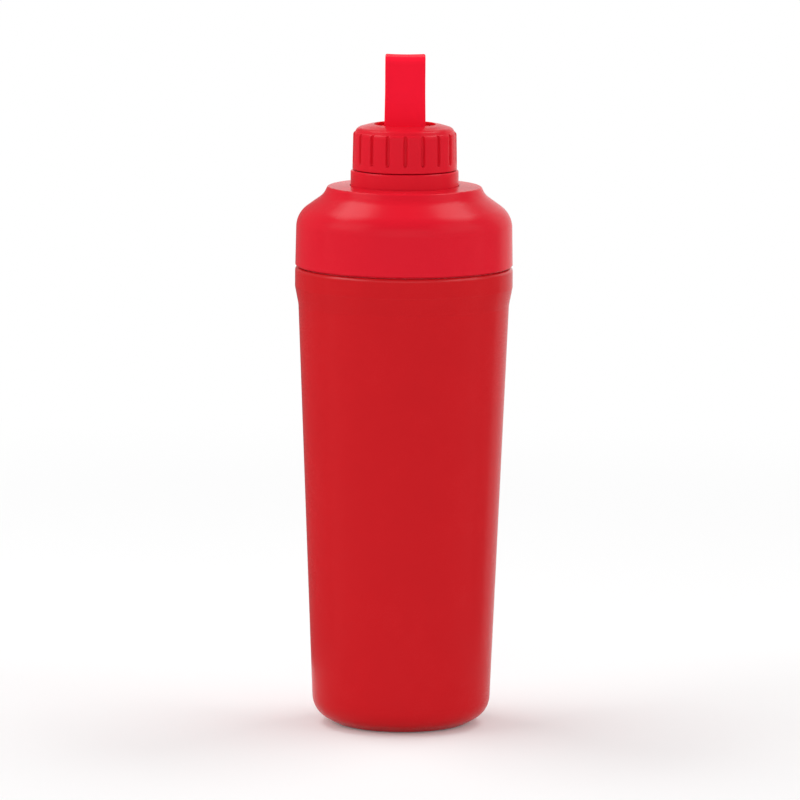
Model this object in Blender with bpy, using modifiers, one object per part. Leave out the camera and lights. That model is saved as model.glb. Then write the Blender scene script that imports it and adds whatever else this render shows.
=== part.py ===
"""A double-walled drinking bottle: a tapered cup, a screw lid with a spout, and a fluted screw cap with a loop.

Each body has its own frame. The cup stands on z = 0, the lid's heights count from the cup's rim, the cap's
from the top of the lid's collar, and the loop's from the floor of the dish in the cap.
"""

import math

import bmesh
import bpy
from mathutils import Vector

mm = 0.001

# Fits that several pieces share
fit_gap = 0.3 * mm
seam_gap = 0.4 * mm
swivel_gap = 0.5 * mm
crest_gap = 0.4 * mm

# Cup shell, the outer wall
cup_height = 189.6 * mm
rim_radius = 44.7 * mm
rim_rounding = 1.6 * mm
rim_band_height = 8.2 * mm
rim_step = 1.45 * mm
rim_step_height = 7.4 * mm
rim_lip = 1.9 * mm
rim_ledge_depth = 2.0 * mm
foot_radius = 36.45 * mm
foot_rounding = 10.0 * mm
foot_bevel_height = 5.5 * mm
foot_bevel_width = 9.8 * mm
sole_rounding = 7.0 * mm
shell_wall = 1.8 * mm
base_thickness = 2.0 * mm
base_recess_radius = 19.0 * mm
base_recess_depth = 1.5 * mm

# Cup liner, the inner wall and its screw neck
liner_wall = 2.0 * mm
wall_space = 2.2 * mm
floor_space = 2.0 * mm
neck_height = 12.9 * mm
neck_edge_rounding = 0.5 * mm

# Lid thread
lid_pitch = 4.5 * mm
lid_bead = 1.1 * mm
lid_thread_turns = 1.5
neck_thread_start = 2.6 * mm
skirt_thread_skip = 0.45

# Lid core, the inner lid with the spout
skirt_wall = 1.4 * mm
skirt_lift = 0.6 * mm
plate_thickness = 2.0 * mm
plug_gap = 0.8 * mm
plug_wall = 1.6 * mm
plug_depth = 3.1 * mm
funnel_rise = 1.5 * mm
funnel_drop = 1.0 * mm
funnel_wall = 4.3 * mm
seat_width = 3.0 * mm
collar_height = 6.3 * mm
collar_proud = 0.7 * mm
collar_edge_rounding = 0.8 * mm
spout_height = 8.0 * mm
spout_wall = 1.8 * mm
spout_edge_rounding = 0.45 * mm
plate_edge_rounding = 1.0 * mm

# Lid shell, the bell-shaped cover
lid_setback = 0.05 * mm
lid_draft = 0.4 * mm
lid_wall = 1.8 * mm
lid_edge_rounding = 0.8 * mm
shoulder_room = 4.55 * mm
shoulder_rise = 7.95 * mm
shoulder_rounding = 10.4 * mm
platform_width = 9.4 * mm
platform_flank_run = 1.7 * mm
platform_flank_rise = 3.5 * mm
platform_crown = 0.5 * mm
platform_rounding = 1.2 * mm
platform_sweep = 7.2 * mm

# Soft rings
lid_seal_thickness = 1.6 * mm
lid_seal_overhang = 1.0 * mm
cap_seal_thickness = 1.4 * mm
cap_seal_overhang = 0.8 * mm

# Cap thread
cap_pitch = 3.6 * mm
cap_bead = 0.95 * mm
cap_thread_turns = 1.5
spout_thread_start = 1.35 * mm
cap_thread_skip = 0.6
core_thread_turns = 1.4

# Cap shell, the fluted cover
cap_wall = 1.8 * mm
cap_draft = 0.4 * mm
cap_dome_fall = 1.9 * mm
cap_dome_rounding = 2.7 * mm
cap_edge_rounding = 0.4 * mm
cap_brow_width = 3.0 * mm
cap_brow_fall = 0.6 * mm
cap_brow_rounding = 4.0 * mm
lip_width = 8.85 * mm
lip_rounding = 0.5 * mm
dish_depth = 3.9 * mm
dish_floor_thickness = 1.6 * mm
flute_count = 18
flute_phase = math.radians(0.8)
flute_radius = 1.1 * mm
flute_depth = 0.7 * mm
flute_start = 2.9 * mm
flute_length = 12.3 * mm

# Cap core, the inner cap
core_wall = 1.4 * mm
core_plate = 1.6 * mm
core_lift = 0.3 * mm
core_edge_rounding = 0.7 * mm
rivet_pocket_gap = 1.5 * mm

# Carry loop and its swivel rivet
band_root_width = 17.0 * mm
band_top_width = 16.45 * mm
band_thickness = 2.6 * mm
band_flare_height = 17.0 * mm
loop_root_gap = 10.9 * mm
loop_bulge = 1.0 * mm
loop_bulge_height = 13.0 * mm
loop_height = 31.9 * mm
loop_corner_rounding = 3.4 * mm
loop_edge_rounding = 0.5 * mm
loop_edge_angle = math.radians(60)
foot_disc_thickness = 2.0 * mm
foot_disc_edge = 0.4 * mm
rivet_radius = 3.0 * mm
rivet_head_radius = 4.6 * mm
rivet_head_thickness = 1.5 * mm
rivet_head_rounding = 1.2 * mm
rivet_tail_radius = 5.5 * mm
rivet_tail_thickness = 1.4 * mm
rivet_tail_rounding = 0.7 * mm

# How finely round shapes are drawn
ring_steps = 40
arc_step = math.radians(30)
bead_points_per_turn = 30
bead_tip_size = 0.3
bead_run_out = 0.1
flute_sides = 8
weld_distance = 0.001 * mm

# Radii, from the rim inwards
lid_radius = rim_radius - lid_setback
lid_inner = lid_radius - lid_wall
skirt_outer = lid_inner - lid_draft - fit_gap
skirt_inner = skirt_outer - skirt_wall
neck_outer = skirt_inner - crest_gap - lid_bead
neck_inner = neck_outer - liner_wall
plug_outer = neck_inner - plug_gap
plug_inner = plug_outer - plug_wall
waist_radius = rim_radius - rim_step
rim_ledge = rim_radius - rim_lip

# Radii, from the loop's foot outwards
loop_root = loop_root_gap / 2 + band_thickness
foot_disc_radius = math.hypot(loop_root, band_root_width / 2) + foot_disc_edge
dish_radius = foot_disc_radius + swivel_gap
cap_radius = dish_radius + lip_width
cap_inner = cap_radius - cap_wall
core_outer = cap_inner - fit_gap
core_inner = core_outer - core_wall
spout_outer = core_inner - crest_gap - cap_bead
spout_inner = spout_outer - spout_wall
collar_radius = cap_radius + collar_proud
platform_radius = collar_radius + platform_width
rivet_hole = rivet_radius + fit_gap

# Heights above the cup's rim
lid_seal_bottom = neck_height + fit_gap
plate_bottom = lid_seal_bottom + lid_seal_thickness + fit_gap
plate_top = plate_bottom + plate_thickness
shoulder_height = plate_top + shoulder_room
sweep_height = shoulder_height + shoulder_rise
platform_height = sweep_height + platform_flank_rise
crown_height = platform_height + platform_crown
collar_top = crown_height + collar_height

# Heights above the collar
cap_seal_bottom = spout_height + fit_gap
core_plate_bottom = cap_seal_bottom + cap_seal_thickness + fit_gap
rivet_pocket_floor = core_plate_bottom + core_plate
rivet_tail_bottom = rivet_pocket_floor + fit_gap
dish_underside = rivet_tail_bottom + rivet_tail_thickness + fit_gap
dish_floor = dish_underside + dish_floor_thickness
cap_top = dish_floor + dish_depth

red = (0.53, 0.010, 0.018)
bright_red = (0.62, 0.010, 0.020)
pale_grey = (0.62, 0.62, 0.60)
soft_grey = (0.40, 0.40, 0.41)
steel = (0.55, 0.56, 0.57)


def clear_scene():
    for thing in list(bpy.data.objects):
        bpy.data.objects.remove(thing, do_unlink=True)


def new_collection(name):
    collection = bpy.data.collections.new(name)
    bpy.context.scene.collection.children.link(collection)
    return collection


def material(name, colour, roughness, metallic=0.0):
    """A Principled material of one colour."""
    made = bpy.data.materials.new(name)
    made.use_nodes = True
    shader = made.node_tree.nodes["Principled BSDF"]
    shader.inputs["Base Color"].default_value = (*colour, 1.0)
    shader.inputs["Roughness"].default_value = roughness
    shader.inputs["Metallic"].default_value = metallic
    made.diffuse_color = (*colour, 1.0)
    return made


def frame(name, parent, height):
    """An empty on the bottle's axis, which carries one body."""
    empty = bpy.data.objects.new(name, None)
    empty.parent = parent
    empty.location.z = height
    parts.objects.link(empty)
    return empty


def fillet_reaches(corners, closed):
    """How far along its two sides each corner's arc starts, cut down where two arcs share a short side."""
    count = len(corners)
    spots = [Vector(corner[:2]) for corner in corners]
    wanted = []
    for index, corner in enumerate(corners):
        if corner[2] == 0 or (not closed and index in (0, count - 1)):
            wanted.append(0.0)
            continue
        back = spots[index - 1] - spots[index]
        ahead = spots[(index + 1) % count] - spots[index]
        wanted.append(corner[2] / math.tan(back.angle(ahead) / 2))
    allowed = list(wanted)
    for index in range(count if closed else count - 1):
        follower = (index + 1) % count
        side = (spots[follower] - spots[index]).length
        total = wanted[index] + wanted[follower]
        if total > side:
            allowed[index] = min(allowed[index], wanted[index] * side / total)
            allowed[follower] = min(allowed[follower], wanted[follower] * side / total)
    return allowed


def rounded(corners, closed):
    """The outline through corners given as (across, up, fillet radius), with the fillets as arcs."""
    count = len(corners)
    points = []
    for index, reach in enumerate(fillet_reaches(corners, closed)):
        here = Vector(corners[index][:2])
        if reach == 0:
            points.append(here)
            continue
        back = (Vector(corners[index - 1][:2]) - here).normalized()
        ahead = (Vector(corners[(index + 1) % count][:2]) - here).normalized()
        half_angle = back.angle(ahead) / 2
        centre = here + (back + ahead).normalized() * (reach / math.cos(half_angle))
        first = here + back * reach - centre
        last = here + ahead * reach - centre
        turn = math.pi - 2 * half_angle
        steps = max(1, math.ceil(turn / arc_step))
        for step in range(steps + 1):
            part = step / steps
            spoke = first * math.sin((1 - part) * turn) + last * math.sin(part * turn)
            points.append(centre + spoke / math.sin(turn))
    return points


def inset(corners, wall):
    """The inner corners of an outline moved to lines parallel to its sides, a wall to the right of its run."""
    moved = []
    for before, corner, after in zip(corners, corners[1:], corners[2:]):
        here = Vector(corner[:2])
        arriving = (here - Vector(before[:2])).normalized()
        leaving = (Vector(after[:2]) - here).normalized()
        right_turn = arriving.y * leaving.x - arriving.x * leaving.y
        right = Vector((arriving.y, -arriving.x)) + Vector((leaving.y, -leaving.x))
        spot = here + right * (wall / (1 + arriving.dot(leaving)))
        fillet = corner[2] - math.copysign(wall, right_turn)
        moved.append((spot.x, spot.y, max(fillet, fit_gap)))
    return moved


def add_to(collection, name, data, parent, finish):
    made = bpy.data.objects.new(name, data)
    made.parent = parent
    if finish:
        data.materials.append(finish)
    collection.objects.link(made)
    return made


def turned(name, corners, parent, finish, closed=True, collection=None):
    """A piece turned round the axis from (radius, height, fillet) corners, which run down its outer side."""
    points = rounded(corners, closed)
    count = len(points)
    edges = [(index, (index + 1) % count) for index in range(count if closed else count - 1)]
    mesh = bpy.data.meshes.new(name)
    mesh.from_pydata([(point.x, 0.0, point.y) for point in points], edges, [])
    piece = add_to(collection or parts, name, mesh, parent, finish)
    screw = piece.modifiers.new("turn", "SCREW")
    screw.axis = "Z"
    screw.steps = ring_steps
    screw.render_steps = ring_steps
    screw.use_merge_vertices = True
    screw.merge_threshold = weld_distance
    screw.use_smooth_shade = True
    return piece


def set_aside(tool):
    """Marks an object as one that only shapes another."""
    tool.hide_render = True
    tool.display_type = "WIRE"


def shape_with(piece, tool, operation):
    boolean = piece.modifiers.new(tool.name, "BOOLEAN")
    boolean.operation = operation
    boolean.solver = "EXACT"
    boolean.object = tool


def meshed(curve):
    """The curve object made a mesh object, with its caps welded on."""
    bpy.context.view_layer.update()
    graph = bpy.context.evaluated_depsgraph_get()
    mesh = bpy.data.meshes.new_from_object(curve.evaluated_get(graph))
    shape = bmesh.new()
    shape.from_mesh(mesh)
    bmesh.ops.remove_doubles(shape, verts=shape.verts, dist=weld_distance)
    bmesh.ops.recalc_face_normals(shape, faces=shape.faces)
    shape.to_mesh(mesh)
    shape.free()
    name, parent, place = curve.name, curve.parent, curve.matrix_world.copy()
    collection = curve.users_collection[0]
    bpy.data.objects.remove(curve, do_unlink=True)
    made = add_to(collection, name, mesh, parent, None)
    made.matrix_world = place
    return made


def thread(piece, radius, start_height, start_turn, turns, pitch, bead):
    """Joins a right-hand thread of half-round bead to a round wall, with its two ends run out to a point."""
    curve = bpy.data.curves.new(piece.name + "_thread", "CURVE")
    curve.dimensions = "3D"
    curve.bevel_depth = bead
    curve.bevel_resolution = 1
    curve.use_fill_caps = True
    count = round(turns * bead_points_per_turn) + 1
    spline = curve.splines.new("POLY")
    spline.points.add(count - 1)
    for index, point in enumerate(spline.points):
        turn = start_turn + turns * index / (count - 1)
        angle = 2 * math.pi * turn
        height = start_height + pitch * turn
        point.co = (radius * math.cos(angle), radius * math.sin(angle), height, 1.0)
        from_end = min(index, count - 1 - index) / bead_points_per_turn
        point.radius = min(1.0, bead_tip_size + (1 - bead_tip_size) * from_end / bead_run_out)
    coil = add_to(tools, curve.name, curve, piece.parent, None)
    coil = meshed(coil)
    set_aside(coil)
    shape_with(piece, coil, "UNION")


def make_cup_shell():
    waist = cup_height - rim_band_height - rim_step_height
    floor = base_recess_depth + base_thickness
    turned("cup_shell", [
        (0, floor, 0),
        (foot_radius - shell_wall, floor, foot_rounding - shell_wall),
        (waist_radius - shell_wall, waist, 0),
        (waist_radius - shell_wall, cup_height - rim_ledge_depth, 0),
        (rim_ledge, cup_height - rim_ledge_depth, 0),
        (rim_ledge, cup_height, 0),
        (rim_radius, cup_height, rim_rounding),
        (rim_radius, cup_height - rim_band_height, 0),
        (waist_radius, waist, 0),
        (foot_radius, foot_bevel_height, foot_rounding),
        (foot_radius - foot_bevel_width, 0, sole_rounding),
        (base_recess_radius, 0, 0),
        (base_recess_radius - base_recess_depth, base_recess_depth, 0),
        (0, base_recess_depth, 0),
    ], cup, red_plastic, closed=False)


def make_cup_liner():
    bottom = base_recess_depth + base_thickness + floor_space
    floor = bottom + liner_wall
    liner_foot = foot_radius - shell_wall - wall_space
    flange = rim_ledge - fit_gap
    flange_bottom = cup_height - rim_ledge_depth + fit_gap
    neck_top = cup_height + neck_height
    liner = turned("cup_liner", [
        (0, floor, 0),
        (liner_foot - liner_wall, floor, foot_rounding - shell_wall - liner_wall),
        (neck_inner, cup_height, 0),
        (neck_inner, neck_top, 0),
        (neck_outer, neck_top, neck_edge_rounding),
        (neck_outer, cup_height, 0),
        (flange, cup_height, 0),
        (flange, flange_bottom, 0),
        (neck_outer, flange_bottom, 0),
        (liner_foot, bottom, foot_rounding - shell_wall),
        (0, bottom, 0),
    ], cup, liner_plastic, closed=False)
    thread(liner, neck_outer, cup_height + neck_thread_start, 0, lid_thread_turns, lid_pitch, lid_bead)


def make_lid_shell():
    hole = collar_radius + fit_gap
    outer = [
        (hole, crown_height, 0),
        (platform_radius, platform_height, platform_rounding),
        (platform_radius + platform_flank_run, sweep_height, platform_sweep),
        (lid_radius - lid_draft, shoulder_height, shoulder_rounding),
        (lid_radius, seam_gap, lid_edge_rounding),
    ]
    inner = inset(outer, lid_wall)
    bottom_edge = (lid_inner, seam_gap, 0)
    hole_edge = (hole, crown_height - lid_wall, 0)
    turned("lid_shell", outer + [bottom_edge] + inner[::-1] + [hole_edge], lid, red_plastic)


def make_lid_core():
    seat = crown_height - lid_wall - fit_gap
    seat_edge = collar_radius + seat_width
    seat_fall = platform_crown * seat_width / platform_width
    spout_top = collar_top + spout_height
    skirt_bottom = seam_gap + skirt_lift
    core = turned("lid_core", [
        (spout_outer, spout_top, spout_edge_rounding),
        (spout_outer, collar_top, 0),
        (collar_radius, collar_top, collar_edge_rounding),
        (collar_radius, seat, 0),
        (seat_edge, seat - seat_fall, 0),
        (plug_inner + funnel_wall, plate_top, 0),
        (skirt_outer, plate_top, plate_edge_rounding),
        (skirt_outer, skirt_bottom, 0),
        (skirt_inner, skirt_bottom, 0),
        (skirt_inner, plate_bottom, 0),
        (plug_outer, plate_bottom, 0),
        (plug_outer, plate_bottom - plug_depth, 0),
        (plug_inner, plate_bottom - plug_depth, 0),
        (plug_inner, plate_top + funnel_rise, 0),
        (spout_inner, collar_top - funnel_drop, 0),
        (spout_inner, spout_top, spout_edge_rounding),
    ], lid, red_plastic)
    thread(core, skirt_inner, neck_thread_start - lid_pitch / 2, skirt_thread_skip,
           lid_thread_turns, lid_pitch, lid_bead)
    thread(core, spout_outer, collar_top + spout_thread_start, 0, cap_thread_turns, cap_pitch, cap_bead)


def make_lid_seal():
    top = lid_seal_bottom + lid_seal_thickness
    inner = plug_outer + fit_gap
    outer = neck_outer + lid_seal_overhang
    turned("lid_seal", [
        (inner, top, 0),
        (outer, top, 0),
        (outer, lid_seal_bottom, 0),
        (inner, lid_seal_bottom, 0),
    ], lid, soft_ring)


def make_cap_shell():
    top_radius = cap_radius - cap_draft
    brow_radius = dish_radius + cap_brow_width
    brow_height = cap_top - cap_brow_fall
    dome_height = cap_top - cap_dome_fall
    dome_slope = (brow_height - dome_height) / (top_radius - brow_radius)
    groove_wall = dish_radius + cap_wall
    groove_top = brow_height - cap_wall
    groove_edge = groove_top - dome_slope * (cap_inner - brow_radius)
    shell = turned("cap_shell", [
        (rivet_hole, dish_floor, 0),
        (dish_radius, dish_floor, 0),
        (dish_radius, cap_top, lip_rounding),
        (brow_radius, brow_height, cap_brow_rounding),
        (top_radius, dome_height, cap_dome_rounding),
        (cap_radius, fit_gap, cap_edge_rounding),
        (cap_inner, fit_gap, 0),
        (cap_inner, groove_edge, cap_dome_rounding - cap_wall),
        (brow_radius, groove_top, 0),
        (groove_wall, groove_top, 0),
        (groove_wall, dish_underside, 0),
        (rivet_hole, dish_underside, 0),
    ], cap, red_plastic)
    shape = bmesh.new()
    for index in range(flute_count):
        angle = flute_phase + 2 * math.pi * index / flute_count
        flute = bmesh.ops.create_cone(
            shape, cap_ends=True, segments=flute_sides, depth=flute_length,
            radius1=flute_radius, radius2=flute_radius)
        reach = cap_radius + flute_radius - flute_depth
        middle = flute_start + flute_length / 2
        spot = Vector((reach * math.sin(angle), -reach * math.cos(angle), middle))
        bmesh.ops.translate(shape, verts=flute["verts"], vec=spot)
    mesh = bpy.data.meshes.new("cap_flutes")
    shape.to_mesh(mesh)
    shape.free()
    flutes = add_to(tools, "cap_flutes", mesh, cap, None)
    set_aside(flutes)
    shape_with(shell, flutes, "DIFFERENCE")


def make_cap_core():
    pocket = rivet_tail_radius + rivet_pocket_gap
    top = dish_underside - fit_gap
    bottom = fit_gap + core_lift
    core = turned("cap_core", [
        (0, rivet_pocket_floor, 0),
        (pocket, rivet_pocket_floor, 0),
        (pocket, top, 0),
        (core_outer, top, core_edge_rounding),
        (core_outer, bottom, 0),
        (core_inner, bottom, 0),
        (core_inner, core_plate_bottom, 0),
        (0, core_plate_bottom, 0),
    ], cap, red_plastic, closed=False)
    thread(core, core_inner, spout_thread_start - cap_pitch / 2, cap_thread_skip,
           core_thread_turns, cap_pitch, cap_bead)


def make_cap_seal():
    top = cap_seal_bottom + cap_seal_thickness
    inner = spout_inner - cap_seal_overhang
    outer = spout_outer + cap_seal_overhang
    turned("cap_seal", [
        (inner, top, 0),
        (outer, top, 0),
        (outer, cap_seal_bottom, 0),
        (inner, cap_seal_bottom, 0),
    ], cap, soft_ring)


def make_carry_loop():
    disc_top = fit_gap + foot_disc_thickness
    disc = turned("loop_foot_disc", [
        (rivet_hole, disc_top, 0),
        (foot_disc_radius, disc_top, foot_disc_edge),
        (foot_disc_radius, fit_gap, 0),
        (rivet_hole, fit_gap, 0),
    ], loop, None, collection=tools)
    set_aside(disc)
    root = fit_gap + foot_disc_thickness / 2
    outer_half = [
        (loop_root, root, 0),
        (loop_root + loop_bulge, loop_bulge_height, loop_bulge_height),
        (loop_root + loop_bulge, loop_height, loop_corner_rounding),
    ]
    inner_half = [
        (across - band_thickness, min(up, loop_height - band_thickness), max(fillet - band_thickness, 0))
        for across, up, fillet in outer_half
    ]
    left_outer = [(-across, up, fillet) for across, up, fillet in outer_half]
    left_inner = [(-across, up, fillet) for across, up, fillet in inner_half]
    outline = rounded(outer_half + left_outer[::-1] + left_inner + inner_half[::-1], closed=True)
    curve = bpy.data.curves.new("carry_loop", "CURVE")
    curve.dimensions = "2D"
    curve.fill_mode = "BOTH"
    curve.extrude = band_top_width / 2
    spline = curve.splines.new("POLY")
    spline.points.add(len(outline) - 1)
    spline.use_cyclic_u = True
    for point, spot in zip(spline.points, outline):
        point.co = (spot.x, spot.y, 0.0, 1.0)
    band = meshed(add_to(parts, "carry_loop", curve, loop, None))
    band.data.materials.append(loop_plastic)
    # The outline was drawn flat, so its across, up and thickness become Y, Z and X, flared towards the root
    for vertex in band.data.vertices:
        across, up, side = vertex.co
        below_flare = max(0.0, 1 - (up - root) / band_flare_height)
        flare = 1 + (band_root_width / band_top_width - 1) * below_flare
        vertex.co = (side * flare, across, up)
    bevel = band.modifiers.new("edges", "BEVEL")
    bevel.width = loop_edge_rounding
    bevel.segments = 2
    bevel.limit_method = "ANGLE"
    bevel.angle_limit = loop_edge_angle
    shape_with(band, disc, "UNION")


def make_loop_rivet():
    disc_top = dish_floor + fit_gap + foot_disc_thickness
    head_bottom = disc_top + fit_gap
    head_top = head_bottom + rivet_head_thickness
    tail_top = dish_underside - fit_gap
    turned("loop_rivet", [
        (0, head_top, 0),
        (rivet_head_radius, head_top, rivet_head_rounding),
        (rivet_head_radius, head_bottom, 0),
        (rivet_radius, head_bottom, 0),
        (rivet_radius, tail_top, 0),
        (rivet_tail_radius, tail_top, 0),
        (rivet_tail_radius, rivet_tail_bottom, rivet_tail_rounding),
        (0, rivet_tail_bottom, 0),
    ], cap, bare_steel, closed=False)


clear_scene()
parts = new_collection("water_bottle")
tools = new_collection("shaping_tools")

red_plastic = material("red_plastic", red, 0.45)
loop_plastic = material("loop_plastic", bright_red, 0.45)
liner_plastic = material("liner_plastic", pale_grey, 0.4)
soft_ring = material("soft_ring", soft_grey, 0.6)
bare_steel = material("bare_steel", steel, 0.3, 1.0)

cup = frame("cup", None, 0)
lid = frame("lid", cup, cup_height)
cap = frame("cap", lid, collar_top)
loop = frame("loop", cap, dish_floor)

make_cup_shell()
make_cup_liner()
make_lid_seal()
make_lid_shell()
make_lid_core()
make_cap_seal()
make_cap_shell()
make_cap_core()
make_loop_rivet()
make_carry_loop()
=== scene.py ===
import math

import bpy
import numpy as np
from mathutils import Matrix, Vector


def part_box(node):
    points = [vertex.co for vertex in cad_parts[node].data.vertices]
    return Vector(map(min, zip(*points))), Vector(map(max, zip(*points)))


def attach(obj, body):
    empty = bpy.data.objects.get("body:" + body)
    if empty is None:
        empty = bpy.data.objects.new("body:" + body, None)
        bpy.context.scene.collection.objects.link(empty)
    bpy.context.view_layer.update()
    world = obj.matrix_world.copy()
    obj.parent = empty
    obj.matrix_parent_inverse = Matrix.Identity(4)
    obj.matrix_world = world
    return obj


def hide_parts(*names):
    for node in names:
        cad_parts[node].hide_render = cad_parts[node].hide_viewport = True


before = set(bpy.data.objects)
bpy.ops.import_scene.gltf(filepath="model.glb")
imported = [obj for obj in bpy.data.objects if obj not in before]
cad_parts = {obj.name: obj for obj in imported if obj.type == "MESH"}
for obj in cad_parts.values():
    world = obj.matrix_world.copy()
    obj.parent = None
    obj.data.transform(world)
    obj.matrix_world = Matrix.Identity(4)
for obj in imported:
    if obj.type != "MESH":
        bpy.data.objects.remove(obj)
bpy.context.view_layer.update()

# Cup wall: the outer wall of the cup, injection moulded in satin red polypropylene.
# It tapers down to a rounded foot with a shallow recess under it, and its rim band is a little wider.
# The flange of the inner wall is welded into a ledge behind the rim.
mm = 0.001
rim_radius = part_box("cup_shell")[1].x
rim_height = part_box("cup_shell")[1].z
rim_rounding = 1.5 * mm
rim_lip = 1.9 * mm
rim_inner_edge = 0.3 * mm
rim_ledge_depth = 2.0 * mm
rim_band = 8.2 * mm
rim_band_fillet = 5.0 * mm
rim_step = 1.45 * mm
rim_step_height = 7.4 * mm
rim_step_fillet = 8.0 * mm
cup_wall_thickness = 1.8 * mm
foot_radius = 36.45 * mm
foot_rounding = 10.0 * mm
foot_bevel_height = 5.5 * mm
foot_bevel_width = 9.8 * mm
sole_rounding = 7.0 * mm
recess_radius = 19.0 * mm
recess_depth = 1.5 * mm
recess_fillet = 0.6 * mm
gate_dimple = 3.0 * mm
gate_fillet = 0.3 * mm
gate_pip = 0.7 * mm
gate_pip_edge = 0.1 * mm
cup_floor = 3.5 * mm
cup_red = (0.575, 0.011, 0.0155)
satin_roughness = 0.26
rim_shine = 0.8
crease = math.radians(40)


def paced(length, fine, coarse):
    """Places along a straight stretch, as shares of it.

    From both ends the steps start fine and grow by half, and none is longer than coarse.
    """
    growth = 1.5
    growing_steps = 60
    near = np.cumsum(np.minimum(fine * growth ** np.arange(growing_steps), coarse))
    while near[-1] < length / 2:
        near = np.append(near, near[-1] + coarse)
    near = near[near < length / 2 - fine / 2]
    return np.concatenate([near, [length / 2], length - near[::-1]]) / length


def outlined(corners, closed=False, fine=0.2 * mm, coarse=4 * mm, arc_step=math.radians(5)):
    """The outline through (radius, height, fillet) corners, as radius + i height, and the wear of each point.

    A fillet is the arc that touches both sides of its corner: its centre lies on the bisector, at the fillet
    over the sine of half the corner's angle, and its points are equal turns of a spoke, about one arc spacing
    or one arc step apart. Straight stretches are paced, and a fourth number in a corner is the longest step
    after it. Wear is 0 on flats and hollows and nears 1 on tight outward arcs, which are those that turn
    right, because an outline runs down its outer side.
    """
    arc_spacing = 0.1 * mm
    worn_fillet = 1.0 * mm
    spots = np.array([corner[0] + 1j * corner[1] for corner in corners])
    fillets = np.array([corner[2] for corner in corners], float)
    if not closed:
        fillets[[0, -1]] = 0
    back = np.roll(spots, 1) - spots
    back /= abs(back)
    ahead = np.roll(spots, -1) - spots
    ahead /= abs(ahead)
    half = abs(np.angle(ahead / back)) / 2
    arrive = spots + back * fillets / np.tan(half)
    leave = spots + ahead * fillets / np.tan(half)
    centres = spots + (back + ahead) / abs(back + ahead) * fillets / np.sin(half)
    points, wear = [], []
    for index, corner in enumerate(corners):
        if fillets[index]:
            spoke = arrive[index] - centres[index]
            turn = np.angle((leave[index] - centres[index]) / spoke)
            point_turn = max(arc_step, arc_spacing / fillets[index])
            share = np.linspace(0, 1, 2 + math.ceil(abs(turn) / point_turn))
            points.append(centres[index] + spoke * np.exp(1j * turn * share))
            tightness = min(1.0, worn_fillet / fillets[index]) if turn < 0 else 0.0
            wear.append(tightness * np.sin(np.pi * share) ** 0.5)
        else:
            points.append(spots[index:index + 1])
            wear.append(np.zeros(1))
        follower = (index + 1) % len(corners)
        if follower or closed:
            stretch = arrive[follower] - leave[index]
            share = paced(abs(stretch), fine, corner[3] if len(corner) > 3 else coarse)
            points.append(leave[index] + stretch * share)
            wear.append(np.zeros(len(share)))
    return np.concatenate(points), np.concatenate(wear)


def turned(name, outline, around=256, swell=None, angle=None):
    """A mesh turned round the Z axis from an outline.

    Row i, column j is (r cos a, r sin a, z), with r and z of outline point i and the angle a of column j.
    The angles are even, as many as around says, unless they are given. swell(a, r, z) is how far a point
    stands out from the plain wall. An outline that starts and ends on the axis is closed there by one point
    and a fan of triangles, and any other outline closes on itself.
    """
    spots, wear = outline
    nearly_nothing = 1e-9
    poles = abs(spots.real) < nearly_nothing
    rings, ring_wear = spots[~poles], wear[~poles]
    if angle is None:
        angle = np.linspace(0, 2 * np.pi, around, endpoint=False)
    around = len(angle)
    radius = np.repeat(rings.real[:, None], around, axis=1)
    height = np.repeat(rings.imag[:, None], around, axis=1)
    if swell:
        radius = radius + swell(angle[None, :], radius, height)
    points = np.stack([radius * np.cos(angle), radius * np.sin(angle), height], axis=-1).reshape(-1, 3)
    column = np.arange(around)
    beside = (column + 1) % around
    row = np.arange(len(rings) - 1 if poles.any() else len(rings))[:, None]
    below = (row + 1) % len(rings)
    quads = np.stack([row * around + column, below * around + column,
                      below * around + beside, row * around + beside], axis=-1).reshape(-1, 4)
    faces = quads.tolist()
    if poles.any():
        first, last = len(points), len(points) + 1
        ends = np.array([[0, 0, spots[0].imag], [0, 0, spots[-1].imag]])
        lowest = (len(rings) - 1) * around
        points = np.concatenate([points, ends])
        faces += np.stack([column * 0 + first, column, beside], axis=-1).tolist()
        faces += np.stack([lowest + column, column * 0 + last, lowest + beside], axis=-1).tolist()
    mesh = bpy.data.meshes.new(name)
    mesh.from_pydata(points.tolist(), [], faces, shade_flat=False)
    mesh.set_sharp_from_angle(angle=crease)
    all_wear = np.zeros(len(points), np.float32)
    all_wear[:radius.size] = np.repeat(ring_wear, around)
    mesh.attributes.new("wear", "FLOAT", "POINT").data.foreach_set("value", all_wear)
    return mesh


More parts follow.
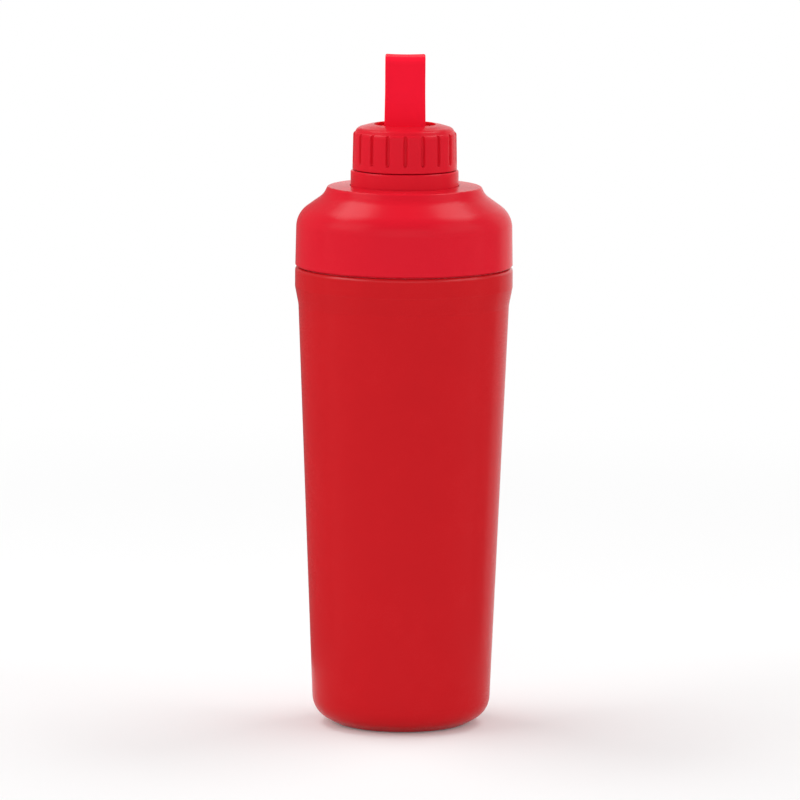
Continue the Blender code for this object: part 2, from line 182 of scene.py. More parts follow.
class Socket:
    """One output of a material's nodes. Sums and products of sockets and plain numbers add Math nodes."""

    def __init__(self, tree, output=None):
        self.tree = tree
        self.output = output

    def node(self, kind, settings, inputs, out=0):
        """Adds a node of one kind with its settings and its inputs, set or linked, and gives one output."""
        made = self.tree.nodes.new("ShaderNode" + kind)
        for name, value in settings.items():
            setattr(made, name, value)
        for name, value in inputs.items():
            if isinstance(value, Socket):
                self.tree.links.new(value.output, made.inputs[name])
            else:
                made.inputs[name].default_value = value
        return Socket(self.tree, made.outputs[out])

    def math(self, operation, first, second):
        return self.node("Math", {"operation": operation}, {0: first, 1: second})

    def __add__(self, other):
        return self.math("ADD", self, other)

    __radd__ = __add__

    def __sub__(self, other):
        return self.math("SUBTRACT", self, other)

    def __rsub__(self, other):
        return self.math("SUBTRACT", other, self)

    def __mul__(self, other):
        return self.math("MULTIPLY", self, other)

    __rmul__ = __mul__

    def noise(self, size, detail):
        """Cloudy noise from 0 to 1 over this place socket, with blots of about this size in metres."""
        return self.node("TexNoise", {}, {"Vector": self, "Scale": 1 / size, "Detail": detail}, "Fac")

    def ramp(self, low, high):
        """0 below low, 1 above high, and a smooth rise between them."""
        settings = {"interpolation_type": "SMOOTHSTEP"}
        return self.node("MapRange", settings, {"Value": self, "From Min": low, "From Max": high})

    def blend(self, first, second):
        """A colour that goes from the first to the second as this socket goes from 0 to 1."""
        return self.node("Mix", {"data_type": "RGBA"}, {0: self, 6: (*first, 1), 7: (*second, 1)}, 2)

    def bump(self):
        """The normal of a surface with this socket as its height in metres."""
        return self.node("Bump", {}, {"Height": self, "Distance": 1.0, "Strength": 1.0})

    def feed(self, shader, name):
        """Links this socket to one input of the shader."""
        self.tree.links.new(self.output, shader.inputs[name])


def new_finish(name):
    """A new material, its main shader, and the place on the piece as a socket."""
    finish = bpy.data.materials.new(name)
    finish.use_nodes = True
    tree = finish.node_tree
    place = Socket(tree).node("TexCoord", {}, {}, "Object")
    return finish, tree.nodes["Principled BSDF"], place


def tinted(colour, share):
    """The colour made darker by a share below 1, or paler by one above it."""
    return [share * part for part in colour]


def moulded_plastic(name, colour, roughness, gloss=0.055, edge_shine=0.0):
    """Moulded plastic with a spark-eroded satin grain.

    The colour and the polish drift a little in clouds, and faint ripples of shrinkage and the grain feed the
    bump. Outward edges, where hands rub, are paler and smoother in patches, and edge_shine is the weight of
    the coat of polish that they have.
    """
    grain_depth = 0.006 * mm
    ripple_depth = 0.012 * mm
    coat_index = 1.75
    coat_roughness = 0.22
    finish, shader, place = new_finish(name)
    wear = place.node("Attribute", {"attribute_name": "wear"}, {}, "Fac")
    cloud = place.noise(size=26 * mm, detail=3)
    ripple = place.noise(size=7 * mm, detail=1)
    grain = place.noise(size=0.3 * mm, detail=2)
    rubbed = wear * place.noise(size=4 * mm, detail=3).ramp(0.35, 0.75)
    shade = (cloud * 0.8 + grain * 0.2 + rubbed * 0.3).blend(tinted(colour, 0.95), tinted(colour, 1.05))
    polish = roughness + 0.10 * (cloud - 0.5) + 0.08 * (grain - 0.5) - 0.10 * rubbed
    shade.feed(shader, "Base Color")
    polish.feed(shader, "Roughness")
    (grain * grain_depth + ripple * ripple_depth).bump().feed(shader, "Normal")
    shader.inputs["Specular IOR Level"].default_value = gloss
    if edge_shine:
        shader.inputs["Coat IOR"].default_value = coat_index
        shader.inputs["Coat Roughness"].default_value = coat_roughness
        (edge_shine * wear * wear).feed(shader, "Coat Weight")
    return finish


def shown(name, mesh, finish):
    """The mesh as an object of the scene, with its finish."""
    piece = bpy.data.objects.new(name, mesh)
    mesh.materials.append(finish)
    bpy.context.scene.collection.objects.link(piece)
    return piece


waist_radius = rim_radius - rim_step
waist_height = rim_height - rim_band - rim_step_height
ledge_radius = rim_radius - rim_lip
ledge_height = rim_height - rim_ledge_depth
cup_wall = shown("cup_wall", turned("cup_wall", outlined([
    (0, cup_floor, 0),
    (foot_radius - cup_wall_thickness, cup_floor, foot_rounding - cup_wall_thickness),
    (waist_radius - cup_wall_thickness, waist_height, 0),
    (waist_radius - cup_wall_thickness, ledge_height, 0),
    (ledge_radius, ledge_height, 0),
    (ledge_radius, rim_height, rim_inner_edge),
    (rim_radius, rim_height, rim_rounding),
    (rim_radius, rim_height - rim_band, rim_band_fillet),
    (waist_radius, waist_height, rim_step_fillet),
    (foot_radius, foot_bevel_height, foot_rounding),
    (foot_radius - foot_bevel_width, 0, sole_rounding),
    (recess_radius, 0, recess_fillet),
    (recess_radius - recess_depth, recess_depth, recess_fillet),
    (gate_dimple, recess_depth, gate_fillet),
    (gate_dimple - gate_pip, recess_depth + gate_pip, gate_fillet),
    (gate_pip, recess_depth + gate_pip, gate_pip_edge),
    (gate_pip, recess_depth + gate_pip / 2, gate_pip_edge),
    (0, recess_depth + gate_pip / 2, 0),
])), moulded_plastic("cup_plastic", cup_red, satin_roughness, edge_shine=rim_shine))
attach(cup_wall, "cup")
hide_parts("cup_shell")

# Inner wall: the pale natural polypropylene vessel that holds the drink, moulded in one with the screw neck.
# Its flange is welded into the ledge of the cup wall, and the air between the two walls keeps the drink cool.
neck_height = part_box("cup_liner")[1].z
ring_overhang = 1.0 * mm
neck_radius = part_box("lid_seal")[1].x - ring_overhang
liner_thickness = 2.0 * mm
liner_foot = 32.45 * mm
liner_rounding = 8.2 * mm
liner_bottom = 5.5 * mm
neck_edge = 0.5 * mm
flange_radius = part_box("cup_liner")[1].x
flange_fillet = 0.2 * mm
fit_gap = 0.3 * mm
lid_pitch = 4.5 * mm
lid_bead = 1.1 * mm
lid_thread_turns = 1.5
neck_thread_height = rim_height + 2.6 * mm
thread_columns = 240
lid_thread_step = 0.22 * mm
wall_tolerance = 0.1 * mm
natural_white = (0.62, 0.62, 0.60)
liner_roughness = 0.38
liner_gloss = 0.4


def thread_ridge(angle, height, start_height, start_turn, turns, pitch, bead):
    """How far a right-hand thread stands out of its wall.

    At each angle the ridge's middle crosses at start height + pitch x turn, for each turn in its length.
    Across it the ridge is a raised cosine, one bead high and one and a half beads wide each way. Over its
    first and last tenth of a turn it runs out to nothing.
    """
    bead_spread = 1.5
    run_out_turn = 0.1
    ridge = np.zeros(np.broadcast(angle, height).shape)
    for lap in range(math.floor(start_turn), math.ceil(start_turn + turns)):
        turn = lap + angle / (2 * np.pi)
        run_out = np.clip(np.minimum(turn - start_turn, start_turn + turns - turn) / run_out_turn, 0, 1)
        across = np.clip((height - start_height - pitch * turn) / (bead_spread * bead), -1, 1)
        ridge = np.maximum(ridge, bead * np.sin(run_out * np.pi / 2) * (1 + np.cos(np.pi * across)) / 2)
    return ridge


def neck_thread(angle, radius, height):
    """The thread stands outwards from the neck, above the rim."""
    ridge = thread_ridge(angle, height, neck_thread_height, 0, lid_thread_turns, lid_pitch, lid_bead)
    on_neck = (abs(radius - neck_radius) < wall_tolerance) & (height > rim_height)
    return np.where(on_neck, ridge, 0)


liner_plastic = moulded_plastic("liner_plastic", natural_white, liner_roughness, liner_gloss)
inner_wall = shown("inner_wall", turned("inner_wall", outlined([
    (0, liner_bottom + liner_thickness, 0),
    (liner_foot - liner_thickness, liner_bottom + liner_thickness, liner_rounding - liner_thickness),
    (neck_radius - liner_thickness, rim_height, 0),
    (neck_radius - liner_thickness, neck_height, neck_edge),
    (neck_radius, neck_height, neck_edge, lid_thread_step),
    (neck_radius, rim_height, flange_fillet),
    (flange_radius, rim_height, flange_fillet),
    (flange_radius, ledge_height + fit_gap, 0),
    (neck_radius, ledge_height + fit_gap, 0),
    (liner_foot, liner_bottom, liner_rounding),
    (0, liner_bottom, 0),
]), thread_columns, neck_thread), liner_plastic)
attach(inner_wall, "cup")
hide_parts("cup_liner")

# Lid ring: the flat ring of soft grey silicone between the top of the neck and the lid.
# It has rounded edges and two thin lips that press on the neck, and it is pushed up round the lid's plug.
ring_low, ring_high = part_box("lid_seal")
ring_width = 3.5 * mm
ring_edge = 0.5 * mm
ring_lip = 0.25 * mm
ring_lip_step = 0.15 * mm
silicone_grey = (0.40, 0.40, 0.41)


def soft_silicone(name, colour):
    """Silicone rubber: a dull even grey with a soft bloom of dust in clouds and a fine matt bump."""
    matt_depth = 0.008 * mm
    finish, shader, place = new_finish(name)
    shader.inputs["Specular IOR Level"].default_value = 0.35
    shader.inputs["Sheen Weight"].default_value = 0.15
    bloom = place.noise(size=5 * mm, detail=4)
    matt = place.noise(size=0.25 * mm, detail=2)
    shade = (bloom * 0.8 + matt * 0.2).blend(tinted(colour, 0.88), tinted(colour, 1.12))
    dullness = 0.55 + 0.2 * (bloom - 0.5) + 0.1 * (matt - 0.5)
    shade.feed(shader, "Base Color")
    dullness.feed(shader, "Roughness")
    (matt * matt_depth).bump().feed(shader, "Normal")
    return finish


def soft_ring(name, low, high, width):
    """A ring between two heights whose section is a rounded oblong with two lips on its lower face.

    The lips are raised cosines, a quarter and three quarters of the way across the ring.
    """
    inner = high.x - width
    spots, wear = outlined([
        (inner, high.z, ring_edge),
        (high.x, high.z, ring_edge),
        (high.x, low.z, ring_edge, ring_lip_step),
        (inner, low.z, ring_edge),
    ], closed=True, fine=0.1 * mm, coarse=0.5 * mm)
    across = (spots.real - inner) / width
    lips = ring_lip * np.maximum(0, -np.cos(4 * np.pi * across))
    underneath = (spots.imag < low.z + ring_edge / 4) & (abs(across - 0.5) < 0.5 - ring_edge / width)
    return turned(name, (spots + 1j * np.where(underneath, ring_lip - lips, 0), wear))


silicone = soft_silicone("grey_silicone", silicone_grey)
lid_ring = shown("lid_ring", soft_ring("lid_ring", ring_low, ring_high, ring_width), silicone)
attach(lid_ring, "lid_ring")
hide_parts("lid_seal")

# Inner lid: the moulded red core of the lid, with the skirt that screws on the neck, the plug that enters it,
# the collar that shows under the cap, and the threaded spout.
# The lid cover is welded over it at the collar and the skirt.
core_low, core_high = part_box("lid_core")
lid_low, lid_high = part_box("lid_shell")
skirt_radius = core_high.x
skirt_thickness = 1.4 * mm
skirt_edge = 0.3 * mm
plate_bottom = ring_high.z + fit_gap
plate_thickness = 2.0 * mm
plate_edge = 1.0 * mm
plug_radius = neck_radius - liner_thickness - 0.8 * mm
plug_thickness = 1.6 * mm
plug_depth = 3.1 * mm
plug_edge = 0.4 * mm
funnel_rise = 1.5 * mm
funnel_drop = 1.0 * mm
funnel_thickness = 4.3 * mm
funnel_fillet = 3.0 * mm
collar_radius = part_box("cap_shell")[1].x + 0.7 * mm
collar_top = lid_high.z + 6.3 * mm
collar_rounding = 0.8 * mm
collar_fillet = 0.25 * mm
cover_thickness = 1.8 * mm
seat_height = lid_high.z - cover_thickness - fit_gap
seat_width = 3.0 * mm
seat_fall = 0.16 * mm
spout_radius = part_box("cap_seal")[1].x - 0.8 * mm
spout_thickness = 1.8 * mm
spout_edge = 0.45 * mm
cap_pitch = 3.6 * mm
cap_bead = 0.95 * mm
cap_thread_step = 0.2 * mm
spout_thread_height = collar_top + 1.35 * mm
spout_thread_turns = 1.5
skirt_thread_skip = 0.45
lid_red = (0.695, 0.0098, 0.024)
lid_gloss = 0.075


def core_threads(angle, radius, height):
    """The skirt's thread stands inwards, half a pitch below the neck's, and the spout's stands outwards."""
    start = neck_thread_height - lid_pitch / 2
    skirt = thread_ridge(angle, height, start, skirt_thread_skip, lid_thread_turns, lid_pitch, lid_bead)
    spout = thread_ridge(angle, height, spout_thread_height, 0, spout_thread_turns, cap_pitch, cap_bead)
    on_skirt = (abs(radius - skirt_radius + skirt_thickness) < wall_tolerance) & (height < plate_bottom)
    on_spout = (abs(radius - spout_radius) < wall_tolerance) & (height > collar_top)
    return np.where(on_spout, spout, 0) - np.where(on_skirt, skirt, 0)


plate_top = plate_bottom + plate_thickness
plug_inner = plug_radius - plug_thickness
lid_plastic = moulded_plastic("lid_plastic", lid_red, satin_roughness, lid_gloss)
inner_lid = shown("inner_lid", turned("inner_lid", outlined([
    (spout_radius, core_high.z, spout_edge, cap_thread_step),
    (spout_radius, collar_top, collar_fillet),
    (collar_radius, collar_top, collar_rounding),
    (collar_radius, seat_height, 0),
    (collar_radius + seat_width, seat_height - seat_fall, 0),
    (plug_inner + funnel_thickness, plate_top, 0),
    (skirt_radius, plate_top, plate_edge),
    (skirt_radius, core_low.z, skirt_edge),
    (skirt_radius - skirt_thickness, core_low.z, skirt_edge, lid_thread_step),
    (skirt_radius - skirt_thickness, plate_bottom, skirt_edge),
    (plug_radius, plate_bottom, skirt_edge),
    (plug_radius, plate_bottom - plug_depth, plug_edge),
    (plug_inner, plate_bottom - plug_depth, plug_edge),
    (plug_inner, plate_top + funnel_rise, funnel_fillet),
    (spout_radius - spout_thickness, collar_top - funnel_drop, funnel_fillet),
    (spout_radius - spout_thickness, core_high.z, spout_edge),
], closed=True), thread_columns, core_threads), lid_plastic)
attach(inner_lid, "lid")
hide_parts("lid_core")

# Lid cover: the bell-shaped red cover that shows, moulded in the same satin plastic as the cup.
# A round shoulder rises to a low platform with a crisp edge, and the inner lid's collar comes through it.
# Its lower edge ends a little above the cup, and a thin lip behind it keeps the seam a dark red line.
cover_edge = 0.4 * mm
seam_relief = 0.3 * mm
lip_setback = 1.25 * mm
lip_gap = 0.12 * mm
lip_fillet = 0.2 * mm
lip_edge = 0.1 * mm
lid_draft = 0.4 * mm
shoulder_height = rim_height + 21.65 * mm
shoulder_rounding = 10.4 * mm
platform_radius = collar_radius + 9.4 * mm
platform_edge = 1.2 * mm
platform_foot = 1.7 * mm
platform_height = lid_high.z - 0.5 * mm
sweep_height = platform_height - 3.5 * mm
sweep_rounding = 7.2 * mm
collar_hole = collar_radius + fit_gap
collar_hole_edge = 0.25 * mm


def inner_corners(corners, thickness):
    """The middle corners of an outline, moved by the wall's thickness to the right of its run.

    Each moves along the sum of its two sides' normals, by the thickness over 1 + the cosine of the turn, so
    that the moved sides stay parallel to the old ones. A fillet that turns right loses the thickness, and one
    that turns left gains it.
    """
    least_fillet = 0.3 * mm
    spots = np.array([corner[0] + 1j * corner[1] for corner in corners])
    run = np.diff(spots)
    run /= abs(run)
    turn = np.angle(run[1:] / run[:-1])
    moved = spots[1:-1] - 1j * (run[:-1] + run[1:]) * thickness / (1 + np.cos(turn))
    fillets = np.array([corner[2] for corner in corners[1:-1]]) + thickness * np.sign(turn)
    return [(spot.real, spot.imag, max(fillet, least_fillet)) for spot, fillet in zip(moved, fillets)]


cover_bottom = lid_low.z + seam_relief
lip_bottom = rim_height + lip_gap
cover_outside = [
    (collar_hole, lid_high.z, collar_hole_edge),
    (platform_radius, platform_height, platform_edge),
    (platform_radius + platform_foot, sweep_height, sweep_rounding),
    (lid_high.x - lid_draft, shoulder_height, shoulder_rounding),
    (lid_high.x, cover_bottom, cover_edge),
]
cover_inside = inner_corners(cover_outside, cover_thickness)[::-1]
lid_cover = shown("lid_cover", turned("lid_cover", outlined(
    cover_outside
    + [
        (lid_high.x - lip_setback, cover_bottom, lip_fillet),
        (lid_high.x - lip_setback, lip_bottom, lip_edge),
        (lid_high.x - cover_thickness, lip_bottom, lip_edge),
    ]
    + cover_inside
    + [(collar_hole, lid_high.z - cover_thickness, 0)], closed=True)), lid_plastic)
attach(lid_cover, "lid")
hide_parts("lid_shell")

# Cap ring: the small silicone ring that closes the spout, pressed up into the inner cap.
# It is the lid ring's smaller sister, moulded with the same lips.
cap_ring_low, cap_ring_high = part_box("cap_seal")
cap_ring_width = 3.4 * mm

cap_ring = shown("cap_ring", soft_ring("cap_ring", cap_ring_low, cap_ring_high, cap_ring_width), silicone)
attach(cap_ring, "cap_ring")
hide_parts("cap_seal")

# Inner cap: the threaded core of the cap, in the same red, with a plate that holds the ring on the spout.
# Its top has a pocket for the tail of the rivet, and the cap cover is snapped and welded over it.
inner_cap_low, inner_cap_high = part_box("cap_core")
inner_cap_radius = inner_cap_high.x
inner_cap_thickness = 1.4 * mm
inner_cap_edge = 0.7 * mm
inner_cap_fillet = 0.4 * mm
inner_cap_plate = cap_ring_high.z + fit_gap
pocket_radius = 7.0 * mm
pocket_fillet = 0.3 * mm
pocket_floor = inner_cap_plate + 1.6 * mm
cap_thread_skip = 0.6
cap_thread_turns = 1.4


def cap_thread(angle, radius, height):
    """The thread stands inwards from the skirt, half a pitch below the spout's."""
    start = spout_thread_height - cap_pitch / 2
    ridge = thread_ridge(angle, height, start, cap_thread_skip, cap_thread_turns, cap_pitch, cap_bead)
    on_skirt = abs(radius - inner_cap_radius + inner_cap_thickness) < wall_tolerance
    return -np.where(on_skirt & (height < inner_cap_plate), ridge, 0)


inner_cap = shown("inner_cap", turned("inner_cap", outlined([
    (0, pocket_floor, 0),
    (pocket_radius, pocket_floor, pocket_fillet),
    (pocket_radius, inner_cap_high.z, pocket_fillet),
    (inner_cap_radius, inner_cap_high.z, inner_cap_edge),
    (inner_cap_radius, inner_cap_low.z, skirt_edge),
    (inner_cap_radius - inner_cap_thickness, inner_cap_low.z, skirt_edge, cap_thread_step),
    (inner_cap_radius - inner_cap_thickness, inner_cap_plate, inner_cap_fillet),
    (0, inner_cap_plate, 0),
]), thread_columns, cap_thread), lid_plastic)
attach(inner_cap, "cap")
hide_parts("cap_core")

# Cap cover: the red fluted cover that fingers grip, moulded in satin plastic with a domed edge.
# Eighteen upright grooves part its grip pads, and a round dish in its top holds the foot of the carry loop.
cap_low, cap_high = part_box("cap_shell")
cap_radius = cap_high.x
cap_draft = 0.3 * mm
cap_thickness = 1.8 * mm
cap_edge = 0.45 * mm
cap_inner_edge = 0.3 * mm
cap_inner_fillet = 0.5 * mm
dome_fall = 1.9 * mm
dome_rounding = 2.6 * mm
brow_width = 3.0 * mm
brow_fall = 0.55 * mm
brow_rounding = 4.0 * mm
brow_inner_fillet = 1.0 * mm
dish_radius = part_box("carry_loop")[1].x + 0.5 * mm
dish_floor = cap_high.z - 3.9 * mm
dish_underside = dish_floor - 1.6 * mm
dish_fillet = 0.5 * mm
rivet_hole = 3.3 * mm
rivet_hole_edge = 0.2 * mm
groove_count = 18
groove_phase = math.radians(0.8)
groove_floor = 0.4 * mm
groove_half_width = 0.95 * mm
groove_depth = 0.25 * mm
groove_low = collar_top + 3.8 * mm
groove_high = collar_top + 14.9 * mm
pad_proud = 0.8 * mm
pad_top = collar_top + 15.8 * mm
pad_rounding = 1.4 * mm
dome_step = 0.1 * mm
pad_step = 0.35 * mm
columns_on_groove = 19
columns_on_pad = 7


def smooth_step(value, low, high):
    """0 below low, 1 above high, and 3t squared - 2t cubed between them."""
    share = np.clip((value - low) / (high - low), 0, 1)
    return share * share * (3 - 2 * share)


def grip(angle, radius, height):
    """Pads and grooves of the grip, as a distance outwards.

    A point's distance to the nearest groove is taken from the groove's upright middle line, so its ends are
    round, and it falls smoothly from its lip to its floor. The pads between grooves stand proud, and their
    top edge is an arc that bends back to the plain wall.
    """
    inner_margin = 0.4 * mm
    sideways = ((angle - first_groove + groove_pitch / 2) % groove_pitch - groove_pitch / 2) * radius
    past_end = np.maximum(np.maximum(groove_low - height, height - groove_high), 0)
    groove = 1 - smooth_step(np.hypot(sideways, past_end), groove_floor, groove_half_width)
    up_arc = np.clip(height - pad_start, 0, pad_top - pad_start)
    pad = pad_proud - pad_rounding + np.sqrt(pad_rounding ** 2 - up_arc ** 2)
    outside = radius > cap_radius - cap_thickness + inner_margin
    return np.where(outside, pad * (1 - groove) - groove_depth * groove, 0)


groove_pitch = 2 * np.pi / groove_count
first_groove = groove_phase - np.pi / 2
groove_reach = 1.1 * groove_half_width / cap_radius
pad_columns = np.linspace(groove_reach, groove_pitch - groove_reach, columns_on_pad + 2)[1:-1]
groove_columns = np.append(np.linspace(-groove_reach, groove_reach, columns_on_groove), pad_columns)
grip_angles = (first_groove + groove_pitch * np.arange(groove_count)[:, None] + groove_columns).ravel()
pad_start = pad_top - math.sqrt(pad_rounding ** 2 - (pad_rounding - pad_proud) ** 2)
underside_wall = dish_radius + cap_thickness
cap_inner = cap_radius - cap_thickness
brow_radius = dish_radius + brow_width
brow_height = cap_high.z - brow_fall
dome_radius = cap_radius - cap_draft - pad_proud
dome_height = cap_high.z - dome_fall
dome_slope = (brow_height - dome_height) / (dome_radius - brow_radius)
pad_wall = dome_radius + cap_draft * (dome_height - pad_start) / (dome_height - cap_low.z)
cap_cover = shown("cap_cover", turned("cap_cover", outlined([
    (rivet_hole, dish_floor, rivet_hole_edge),
    (dish_radius, dish_floor, dish_fillet),
    (dish_radius, cap_high.z, dish_fillet),
    (brow_radius, brow_height, brow_rounding),
    (dome_radius, dome_height, dome_rounding, dome_step),
    (pad_wall, pad_start, 0, pad_step),
    (cap_radius - pad_proud, cap_low.z, cap_edge),
    (cap_inner, cap_low.z, cap_inner_edge),
    (cap_inner, brow_height - cap_thickness - dome_slope * (cap_inner - brow_radius), cap_inner_fillet),
    (brow_radius, brow_height - cap_thickness, brow_inner_fillet),
    (underside_wall, brow_height - cap_thickness, cap_inner_edge),
    (underside_wall, dish_underside, dish_fillet),
    (rivet_hole, dish_underside, rivet_hole_edge),
], closed=True, fine=0.5 * mm), swell=grip, angle=grip_angles), lid_plastic)
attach(cap_cover, "cap")
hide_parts("cap_shell")

# Carry loop: a springy band of brighter red plastic, moulded in one with the round foot that it stands on.
# The band is a little hollow across its outer face and wider at its roots, and its foot turns on the rivet.
foot_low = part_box("carry_loop")[0].z
loop_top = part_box("carry_loop")[1].z
foot_disc_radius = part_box("carry_loop")[1].x
foot_disc_top = foot_low + 2.0 * mm
foot_disc_edge = 0.4 * mm
foot_disc_small_edge = 0.3 * mm
band_thickness = 2.6 * mm
band_width = 16.45 * mm
band_root_width = 17.0 * mm
band_flare_height = 17.0 * mm
band_edge = 0.8 * mm
band_hollow = 0.25 * mm
loop_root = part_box("carry_loop")[1].y - 5.35 * mm
loop_reach = loop_root + 1.0 * mm
loop_corner = 3.4 * mm - band_thickness / 2
loop_bulge_height = dish_floor + 13.0 * mm
loop_red = (0.91, 0.011, 0.034)
loop_roughness = 0.45
loop_gloss = 0.008


def band_mesh(name, path, section):
    """A closed band: row i, column j is path point i plus section point j.

    The path runs in the YZ plane as y + i z, and its normal is its direction turned a quarter right. A
    section point is its place across, along X, + i times its place out along the normal. The section's width
    is stretched near the roots, and the two ends are closed by one flat face each.
    """
    step = np.diff(path)
    step /= abs(step)
    heading = np.append(step, step[-1]) + np.insert(step, 0, step[0])
    outward = -1j * heading / abs(heading)
    below_flare = np.maximum(0, 1 - (path.imag - foot_low) / band_flare_height)
    flare = 1 + (band_root_width / band_width - 1) * below_flare
    across = flare[:, None] * section.real
    spots = path[:, None] + outward[:, None] * section.imag
    points = np.stack([across, spots.real, spots.imag], axis=-1).reshape(-1, 3)
    columns = len(section)
    column = np.arange(columns)
    beside = (column + 1) % columns
    row = np.arange(len(path) - 1)[:, None] * columns
    quads = np.stack([row + column, row + columns + column, row + columns + beside, row + beside], axis=-1)
    last = (len(path) - 1) * columns
    ends = [column.tolist(), (last + column[::-1]).tolist()]
    mesh = bpy.data.meshes.new(name)
    mesh.from_pydata(points.tolist(), [], quads.reshape(-1, 4).tolist() + ends, shade_flat=False)
    return mesh


loop_side = loop_top - band_thickness / 2
root_height = foot_low + 1.0 * mm
loop_path, _ = outlined([
    (loop_root, root_height, 0),
    (loop_reach, loop_bulge_height, loop_reach),
    (loop_reach, loop_side, loop_corner),
    (-loop_reach, loop_side, loop_corner),
    (-loop_reach, loop_bulge_height, loop_reach),
    (-loop_root, root_height, 0),
], coarse=0.8 * mm, arc_step=math.radians(3))
half_width = band_width / 2
half_thickness = band_thickness / 2
band_section, _ = outlined([
    (-half_width, half_thickness, band_edge),
    (half_width, half_thickness, band_edge),
    (half_width, -half_thickness, band_edge),
    (-half_width, -half_thickness, band_edge),
], closed=True, fine=0.15 * mm, coarse=0.9 * mm, arc_step=math.radians(9))
inset = band_hollow * (1 - (band_section.real / half_width) ** 2)
band_section = band_section - 1j * np.where(band_section.imag > 0, inset, 0)
foot_disc = bpy.data.objects.new("loop_foot", turned("loop_foot", outlined([
    (rivet_hole, foot_disc_top, foot_disc_small_edge),
    (foot_disc_radius, foot_disc_top, foot_disc_edge),
    (foot_disc_radius, foot_low, foot_disc_small_edge),
    (rivet_hole, foot_low, rivet_hole_edge),
], closed=True)))
bpy.context.scene.collection.objects.link(foot_disc)
carry_band = shown("carry_band", band_mesh("carry_band", loop_path, band_section),
                   moulded_plastic("loop_plastic", loop_red, loop_roughness, loop_gloss))
joining = carry_band.modifiers.new("foot", "BOOLEAN")
joining.operation = "UNION"
joining.object = foot_disc
bpy.context.view_layer.update()
joined = bpy.data.meshes.new_from_object(carry_band.evaluated_get(bpy.context.evaluated_depsgraph_get()))
carry_band.modifiers.clear()
carry_band.data = joined
joined.set_sharp_from_angle(angle=crease)
bpy.data.objects.remove(foot_disc)
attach(carry_band, "loop")
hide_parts("carry_loop")

# Swivel rivet: a plain stainless steel rivet with a turned, slightly domed head.
# It goes down through the loop's foot and the dish's floor, and its tail is spread in the inner cap's pocket.
rivet_low, rivet_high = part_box("loop_rivet")
rivet_tail_radius = rivet_high.x
rivet_radius = 3.0 * mm
rivet_head_radius = 4.6 * mm
rivet_head_bottom = foot_disc_top + fit_gap
rivet_head_rounding = 0.5 * mm
rivet_head_edge = 0.15 * mm
rivet_crown = 0.5 * mm
rivet_fillet = 0.2 * mm
rivet_tail_top = dish_underside - fit_gap
rivet_tail_rounding = 0.7 * mm
rivet_columns = 160
steel_grey = (0.55, 0.56, 0.57)


def turned_steel(name, colour):
    """Stainless steel faced on a lathe: fine rings round the Z axis, and scuffs that dull it in patches."""
    ring_pitch = 0.2 * mm
    ring_depth = 0.003 * mm
    finish, shader, place = new_finish(name)
    shader.inputs["Metallic"].default_value = 1.0
    settings = {"wave_type": "RINGS", "rings_direction": "Z"}
    inputs = {"Vector": place, "Scale": 0.5 / ring_pitch, "Distortion": 0.4}
    rings = place.node("TexWave", settings, inputs, "Fac")
    scuffs = place.noise(size=1.5 * mm, detail=4)
    shade = (scuffs * 0.7 + rings * 0.3).blend(tinted(colour, 0.85), tinted(colour, 1.1))
    dullness = 0.24 + 0.22 * (scuffs - 0.4) + 0.06 * rings
    shade.feed(shader, "Base Color")
    dullness.feed(shader, "Roughness")
    (rings * ring_depth).bump().feed(shader, "Normal")
    return finish


swivel_rivet = shown("swivel_rivet", turned("swivel_rivet", outlined([
    (0, rivet_high.z, 0),
    (rivet_head_radius, rivet_high.z - rivet_crown, rivet_head_rounding),
    (rivet_head_radius, rivet_head_bottom, rivet_head_edge),
    (rivet_radius, rivet_head_bottom, rivet_fillet),
    (rivet_radius, rivet_tail_top, rivet_fillet),
    (rivet_tail_radius, rivet_tail_top, rivet_fillet),
    (rivet_tail_radius, rivet_low.z, rivet_tail_rounding),
    (0, rivet_low.z, 0),
], coarse=0.6 * mm), rivet_columns), turned_steel("rivet_steel", steel_grey))
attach(swivel_rivet, "cap")
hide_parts("loop_rivet")

# Floor: the pale sweep that the bottle stands on, which keeps the bottle's shadow.
# It fades to the white of the surroundings before its edge, so that no horizon shows.
floor_radius = 4.0
floor_sides = 96
floor_drop = 0.05 * mm
floor_white = (0.82, 0.82, 0.82, 1)
floor_lift = 0.1
fade_start = 0.25
fade_end = 0.9

floor_mesh = bpy.data.meshes.new("floor")
floor_angle = np.linspace(0, 2 * np.pi, floor_sides, endpoint=False)
floor_rim = np.stack([np.cos(floor_angle), np.sin(floor_angle), 0 * floor_angle], axis=-1) * floor_radius
floor_rim[:, 2] = -floor_drop
floor_mesh.from_pydata(floor_rim.tolist(), [], [list(range(len(floor_rim)))])
floor_finish = bpy.data.materials.new("pale_floor")
floor_finish.use_nodes = True
floor_tree = floor_finish.node_tree
floor_tree.nodes.remove(floor_tree.nodes["Principled BSDF"])
floor_place = Socket(floor_tree).node("TexCoord", {}, {}, "Object")
to_camera = floor_place.node("LightPath", {}, {}, "Is Camera Ray")
to_gloss = floor_place.node("LightPath", {}, {}, "Is Glossy Ray")
seen = to_camera + to_gloss
distance = floor_place.node("VectorMath", {"operation": "LENGTH"}, {0: floor_place}, "Value")
away = distance.ramp(fade_start, fade_end)
paper = floor_place.node("BsdfDiffuse", {}, {"Color": floor_white})
lift = floor_place.node("Emission", {}, {"Strength": seen * floor_lift})
near_floor = floor_place.node("AddShader", {}, {0: paper, 1: lift})
white = floor_place.node("Emission", {}, {"Strength": 1.0})
floor_shader = floor_place.node("MixShader", {}, {0: seen * away, 1: near_floor, 2: white})
floor_shader.feed(floor_tree.nodes["Material Output"], "Surface")
floor = shown("floor", floor_mesh, floor_finish)

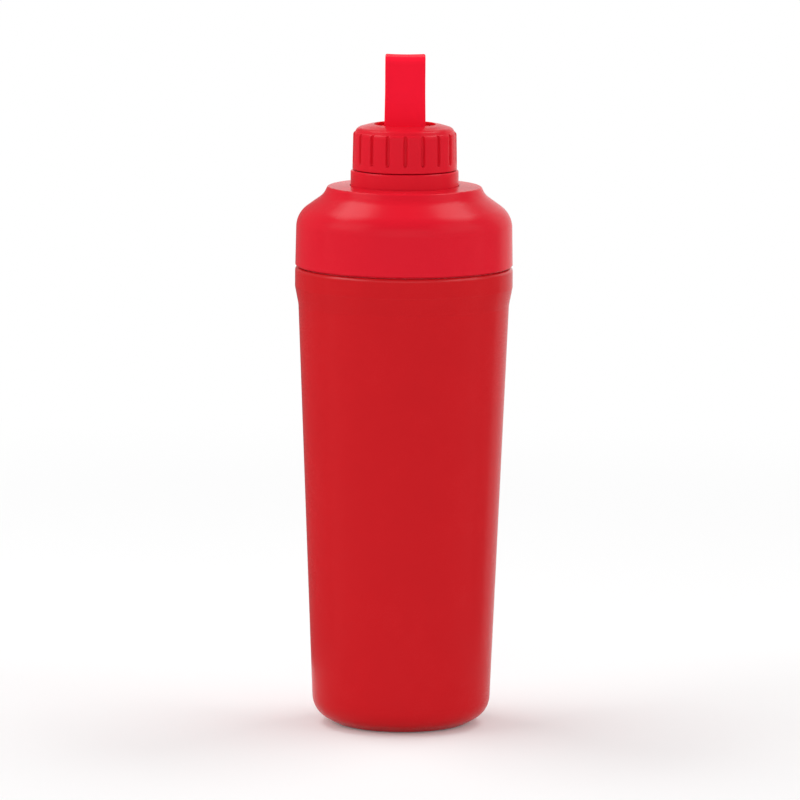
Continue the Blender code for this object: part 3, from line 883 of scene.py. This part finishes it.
# Light: a studio with white walls and a dim ceiling, two soft boxes overhead, left and right of the bottle,
# and broad white cards at both sides and by the camera. Two grey flags by the bottle, which only reflections
# see, keep the white floor from fogging its edges. The camera sees white all round.
middle = (0, 0, 0.14)
ceiling = 0.12
wall_top = 0.4
ceiling_edge = 0.7
bpy.context.scene.world = bpy.data.worlds.new("white_studio")
world = bpy.context.scene.world
world.use_nodes = True
studio = world.node_tree
direction = Socket(studio).node("TexCoord", {}, {}, "Generated")
upward = direction.node("SeparateXYZ", {}, {"Vector": direction}, "Z")
unseen = 1 - direction.node("LightPath", {}, {}, "Is Camera Ray")
level = 1 - (1 - ceiling) * unseen * upward.ramp(wall_top, ceiling_edge)
level.feed(studio.nodes["Background"], "Strength")
studio.nodes["Background"].inputs["Color"].default_value = (1, 1, 1, 1)


def soft_box(name, place, width, height, power):
    """A rectangular area light of that size and power in watts, turned to the middle of the bottle."""
    data = bpy.data.lights.new(name, "AREA")
    data.shape = "RECTANGLE"
    data.size = width
    data.size_y = height
    data.energy = power
    lamp = bpy.data.objects.new(name, data)
    lamp.location = place
    aim = [there - here for here, there in zip(place, middle)]
    lamp.rotation_euler = Vector(aim).to_track_quat("-Z", "Y").to_euler()
    bpy.context.scene.collection.objects.link(lamp)


soft_box("left_soft_box", (-0.56, 0.34, 1.23), 0.68, 0.46, 5.5)
soft_box("right_soft_box", (0.56, 0.34, 1.23), 0.66, 0.46, 4.9)
soft_box("left_card", (-2.0, -0.7, 1.75), 1.8, 1.5, 19.5)
soft_box("right_card", (2.0, -0.7, 1.75), 1.8, 1.5, 13)
soft_box("front_card", (0, -2.5, 1.2), 2.4, 1.6, 8)

flag_height = 0.32
flag_grey = 0.25
flag_finish = bpy.data.materials.new("grey_flag")
flag_finish.use_nodes = True
flag_tree = flag_finish.node_tree
flag_shade = Socket(flag_tree).node("Emission", {}, {"Strength": flag_grey})
flag_shade.feed(flag_tree.nodes["Material Output"], "Surface")


def grey_flag(name, start, end):
    """An upright grey card on the floor between two places, which only reflections see."""
    mesh = bpy.data.meshes.new(name)
    corners = [(*start, 0), (*end, 0), (*end, flag_height), (*start, flag_height)]
    mesh.from_pydata(corners, [], [(0, 1, 2, 3)])
    card = shown(name, mesh, flag_finish)
    card.visible_camera = False
    card.visible_diffuse = False
    card.visible_shadow = False


grey_flag("left_flag", (-0.18, -0.02), (-0.055, 0.15))
grey_flag("right_flag", (0.18, -0.02), (0.163, 0.063))

# Camera: a long lens a little above the bottle, as in the photograph.
# The aim is set so that the foot, the seam and the loop fall where the photograph has them.
view_distance = 3.0
view_elevation = math.radians(7.9)
view_roll = math.radians(0.4)
view_aim = (-1.24 * mm, 0, 134.2 * mm)
picture_scale = 0.4115 * mm
picture_width = 800
camera_data = bpy.data.cameras.new("camera")
camera_data.sensor_width = 36
camera_data.lens = camera_data.sensor_width * view_distance / (picture_scale * picture_width)
camera_data.clip_start = 0.1
camera_data.clip_end = 100
camera = bpy.data.objects.new("camera", camera_data)
bpy.context.scene.collection.objects.link(camera)
camera.location = (view_aim[0], -view_distance * math.cos(view_elevation),
                   view_aim[2] + view_distance * math.sin(view_elevation))
camera.rotation_euler = (math.pi / 2 - view_elevation, 0, 0)
camera.rotation_euler.rotate_axis("Z", view_roll)
bpy.context.scene.camera = camera
bpy.context.scene.view_settings.view_transform = "Standard"
